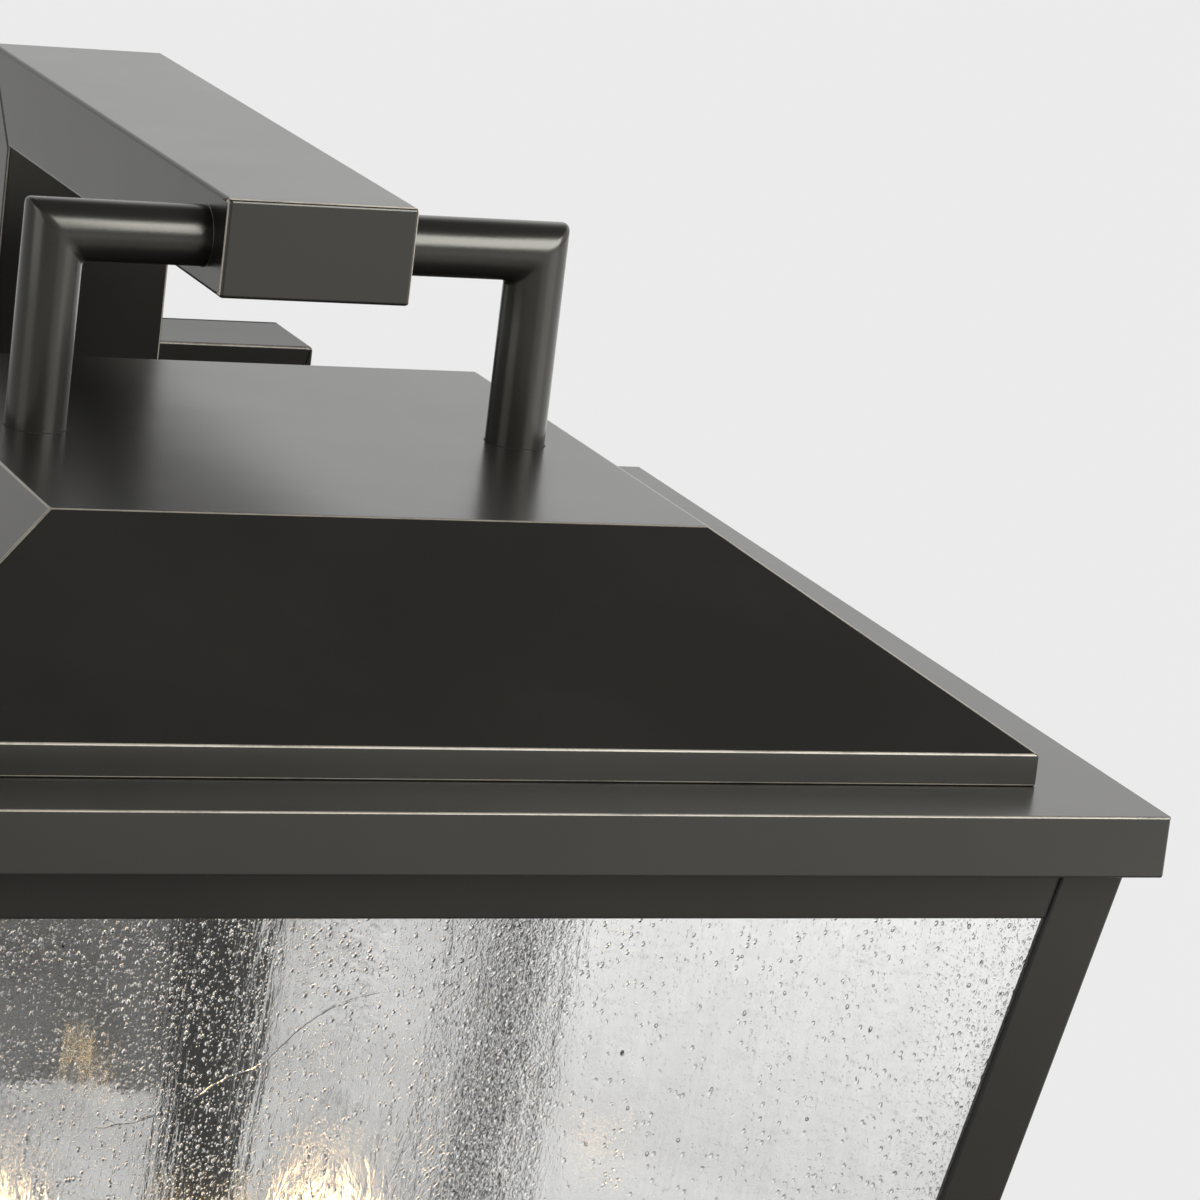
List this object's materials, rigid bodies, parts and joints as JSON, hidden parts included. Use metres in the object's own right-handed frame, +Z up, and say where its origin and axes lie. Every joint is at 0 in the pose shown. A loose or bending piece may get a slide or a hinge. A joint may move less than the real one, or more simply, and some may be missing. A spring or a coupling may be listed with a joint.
{
  "type": "wall lantern",
  "caption": "Square tapered outdoor wall lantern: seeded glass cage under a hipped roof, hung by a tube yoke from a flat arm on a wall plate; hinged bottom door.",
  "frame": {"origin": "middle of the wall plate's back face, on the wall", "axes": "+X to the lantern's right as seen from in front, +Y into the wall, +Z up; the lantern hangs out along -Y"},
  "size_m": [0.305, 0.3608, 0.4609],
  "materials": {
    "bronze": "dark antique bronze, satin, fine orange peel, light rubbed edges",
    "zinc": "zinc plated steel",
    "gasket": "black foam rubber",
    "green": "green dyed screw",
    "seeded_glass": "clear seeded glass with bubbles and drawn streaks",
    "lamp_glass": "clear lamp glass",
    "lamp_brass": "plain brass",
    "filament": "glowing filament",
    "socket_plastic": "moulded lamp holder",
    "sleeve": "ivory candle sleeve"
  },
  "bodies": {
    "lantern": {"wall_gasket": "gasket", "mounting_plate": "zinc", "mounting_studs": "zinc", "stud_nuts": "zinc", "cap_nuts": "bronze", "ground_screw": "green", "backplate": "bronze", "backing_plate": "zinc", "post_screws": "zinc", "wall_post": "bronze", "support_arm": "bronze", "arm_caps": "bronze", "yoke_bar": "bronze", "yoke_leg_left": "bronze", "yoke_leg_right": "bronze", "yoke_welds": "bronze", "leg_nipples": "zinc", "roof_bridge": "zinc", "roof_washers": "zinc", "roof_nuts": "zinc", "roof_cap": "bronze", "eave_plate": "bronze", "roof_rivets": "bronze", "corner_post_front_left": "bronze", "corner_post_front_right": "bronze", "corner_post_back_left": "bronze", "corner_post_back_right": "bronze", "top_rail_front": "bronze", "top_rail_back": "bronze", "top_rail_left": "bronze", "top_rail_right": "bronze", "bottom_rail_front": "bronze", "bottom_rail_back": "bronze", "bottom_rail_left": "bronze", "bottom_rail_right": "bronze", "cage_nuts": "zinc", "glass_front": "seeded_glass", "glass_back": "seeded_glass", "glass_left": "seeded_glass", "glass_right": "seeded_glass", "glass_clips": "zinc", "stem_pipe": "zinc", "stem_cover": "bronze", "cluster_hub": "bronze", "hub_finial": "bronze", "lamp_arms": "bronze", "drip_cups": "bronze", "lamp_sockets": "socket_plastic", "candle_sleeves": "sleeve", "lamp_bases": "lamp_brass", "lamp_bulbs": "lamp_glass", "lamp_filaments": "filament", "base_frame": "bronze", "base_screws": "zinc", "hinge_frame_leaf": "bronze", "hinge_pin": "bronze"},
    "door": {"door_panel": "bronze", "hinge_door_leaf": "bronze"},
    "latch": {"latch_knob": "bronze", "latch_tongue": "zinc"}
  },
  "joints": [
    {"name": "door_hinge", "type": "hinge", "parent": "lantern", "child": "door", "pos_m": [0, -0.10291, -0.27785], "axis": [1, 0, 0], "range_deg": [0, 100]},
    {"name": "latch_turn", "type": "hinge", "parent": "door", "child": "latch", "pos_m": [0, -0.28709, -0.2792], "axis": [0, 0, 1], "range_deg": [0, 90]}
  ]
}
